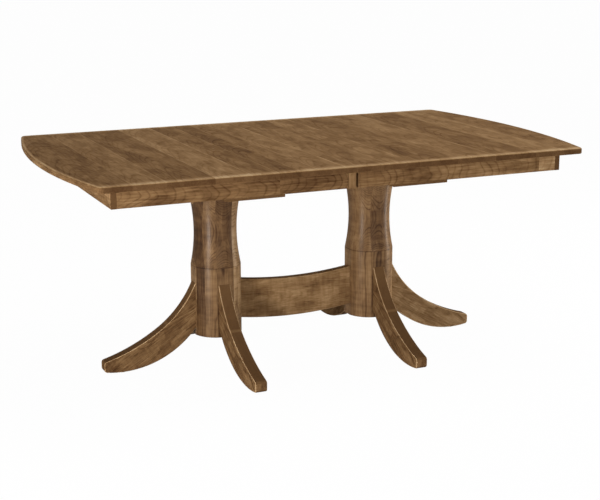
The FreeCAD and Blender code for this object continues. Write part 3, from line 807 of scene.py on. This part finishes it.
# %% Legs
GRAIN_SLOPE = math.radians(34)
SEAM_SLOPE = math.radians(23)
SEAM_REACH = 0.184
SEAM_HEIGHT = 0.158
PLANK_HALF = 0.25
# tones of the lower and the upper board
LEG_TONES = {"left_outer": (0.45, 0.39), "left_front": (0.46, 0.43), "left_back": (0.48, 0.44),
             "right_outer": (0.70, 0.68), "right_front": (0.47, 0.42), "right_back": (0.50, 0.46)}
# the legs get painted shade on their upper edges, and light edge lines of wear and painted highlight
leg_look = {"rings": 0.18, "ring_width": 0.0036, "pith_depth": 0.04, "mottle": 0.52, "fineness": 1.6,
            "patch": 0.12, "curl": 0.20, "dashes": 0.50, "wear_and_highlight": 0.60, "upper": 0.85, "glue": 0.14}


def sloped(outward, angle):
    """A direction that falls by an angle as it goes outward, and the one square to it that rises."""
    down = outward * math.cos(angle) - UP * math.sin(angle)
    square = outward * math.sin(angle) + UP * math.cos(angle)
    return down, square


for leg, (lower_tone, upper_tone) in LEG_TONES.items():
    name = leg + "_leg"
    column_axis = middle_of(leg.split("_")[0] + "_column")
    away = middle_of(name) - column_axis
    # rounded to centimetres, so that the direction comes out exactly square to the table
    outward = Vector((round(away.x, 2), round(away.y, 2), 0)).normalized()
    grain, across = sloped(outward, GRAIN_SLOPE)
    seam = sloped(outward, SEAM_SLOPE)[1]
    origin = Vector((column_axis.x, column_axis.y, 0)) + outward * SEAM_REACH + UP * SEAM_HEIGHT
    boards = [(-PLANK_HALF, lower_tone), (0.0, upper_tone)]
    dress(name, stained_maple(name + "_plank", origin, grain, across, boards, PLANK_HALF, seam=seam,
                              edge_face=UP.cross(outward), **leg_look))

# %% [markdown]
# ## Stretcher and cleats
#
# The stretcher is one wide board with its grain along the table and a cloudy figure. The cleats are stained
# like the shadowed side of the apron, since only their ends and undersides are ever seen. Bare wood would
# do for them in a real workshop, but it would flash pale under the dark apron.

# %% Stretcher and cleats
WIDE_HALF = 0.4
STRETCHER_TONE = 0.59
CLEAT_TONE = 0.44
stretcher_look = {"rings": 0.10, "mottle": 0.68, "curl": 0.32, "dashes": 0.42, "patch": 0.10,
                  "fineness": 1.5}
# its edges get light lines, partly wear and partly painted highlight
single_board("stretcher", ALONG, UP, STRETCHER_TONE, WIDE_HALF, edge_face=DEEP, **stretcher_look)
for hand in ("left", "right"):
    single_board(hand + "_cleat", DEEP, ALONG, CLEAT_TONE, WIDE_HALF)

# %% [markdown]
# ## Plain hardwood below the top
#
# Rails, blocks and dowels are never stained: they are left as pale planed maple. A plain pale colour would
# do from afar, but the rails show when the top is open, so the same board figure serves with another
# palette.

# %% Plain hardwood
BARE_WOOD = [
    (0.0, linear(128, 98, 64)), (0.4, linear(176, 142, 100)), (0.6, linear(198, 166, 122)),
    (1.0, linear(226, 200, 160)),
]
BARE_SEED = 0.4
BARE_TONE = 0.55
BARE_ROUGHNESS, BARE_GLOSS = 0.45, 0.2
BARE_BUMP = 0.2
LENGTHWISE_PIECES = (
    "front_fixed_rail", "back_fixed_rail", "left_front_rail", "left_back_rail", "right_front_rail",
    "right_back_rail", "left_glue_blocks", "right_glue_blocks", "leg_dowels", "stretcher_dowels",
)
UPRIGHT_PIECES = ("left_corner_blocks", "right_corner_blocks")


def bare_maple(name, grain, across):
    """Planed maple without stain, as one board through the whole table."""
    material, tree, shader = new_finish(name)
    place = board_axes(tree, Vector(), grain, across)
    shade, fibre, _ = shade_of_board(tree, place, BARE_SEED, BARE_TONE, FIGURE)
    feed(tree, shader.inputs["Base Color"], colour_ramp(tree, shade, BARE_WOOD))
    gloss = maths(tree, "MULTIPLY_ADD", fibre, BARE_GLOSS, BARE_ROUGHNESS)
    feed(tree, shader.inputs["Roughness"], gloss)
    raise_surface(tree, shader, fibre, BARE_BUMP, WOOD_BUMP_DEPTH)
    return material


lengthwise = bare_maple("bare_maple_lengthwise", ALONG, UP)
upright = bare_maple("bare_maple_upright", UP, ALONG)
for name in LENGTHWISE_PIECES:
    dress(name, lengthwise)
for name in UPRIGHT_PIECES:
    dress(name, upright)

# %% [markdown]
# ## Metal and nylon
#
# Racks, pinions and screws are zinc plated steel, the table locks and pins are brass, and the glides under
# the feet are brown nylon. One flat colour each would be enough for a drawing, but a little noise in the
# colour, the roughness and the surface keeps them from looking like paint.

# %% Metal and nylon
SPOT_EDGES = (0.3, 0.7)
SPOT_DETAIL, SPOT_ROUGHNESS = 4.0, 0.6
GLOSS_SWING, GLOSS_START = 0.25, -0.12
SPOT_BUMP, SPOT_BUMP_DEPTH = 0.12, 0.0002
ZINC_PIECES = (
    "left_racks", "right_racks", "front_pinion", "back_pinion", "pinion_axles", "column_lag_screws",
    "cleat_screws", "left_rail_screws", "right_rail_screws",
)
BRASS_PIECES = ("alignment_pins", "lock_plates", "lock_keepers", "front_lock_lever", "back_lock_lever")


def spotted(name, base, spots, scale, roughness, metallic):
    """A material with soft spots of a second colour and uneven gloss."""
    material, tree, shader = new_finish(name)
    place = add(tree, "TexCoord").outputs["Object"]
    cloud = noise(tree, place, (scale,) * 3, SPOT_DETAIL, SPOT_ROUGHNESS).outputs[0]
    feed(tree, shader.inputs["Base Color"], colour_ramp(tree, cloud, list(zip(SPOT_EDGES, (base, spots)))))
    gloss = maths(tree, "MULTIPLY_ADD", cloud, GLOSS_SWING, roughness + GLOSS_START)
    feed(tree, shader.inputs["Roughness"], gloss)
    shader.inputs["Metallic"].default_value = metallic
    raise_surface(tree, shader, cloud, SPOT_BUMP, SPOT_BUMP_DEPTH)
    return material


zinc = spotted("zinc_plated_steel", linear(196, 198, 202), linear(168, 172, 180), 160.0, 0.36, 1.0)
brass = spotted("rolled_brass", linear(206, 168, 92), linear(172, 132, 66), 120.0, 0.34, 1.0)
nylon = spotted("brown_nylon", linear(74, 54, 40), linear(88, 66, 50), 240.0, 0.55, 0.0)
for name in ZINC_PIECES:
    dress(name, zinc)
for name in BRASS_PIECES:
    dress(name, brass)
dress("foot_glides", nylon)
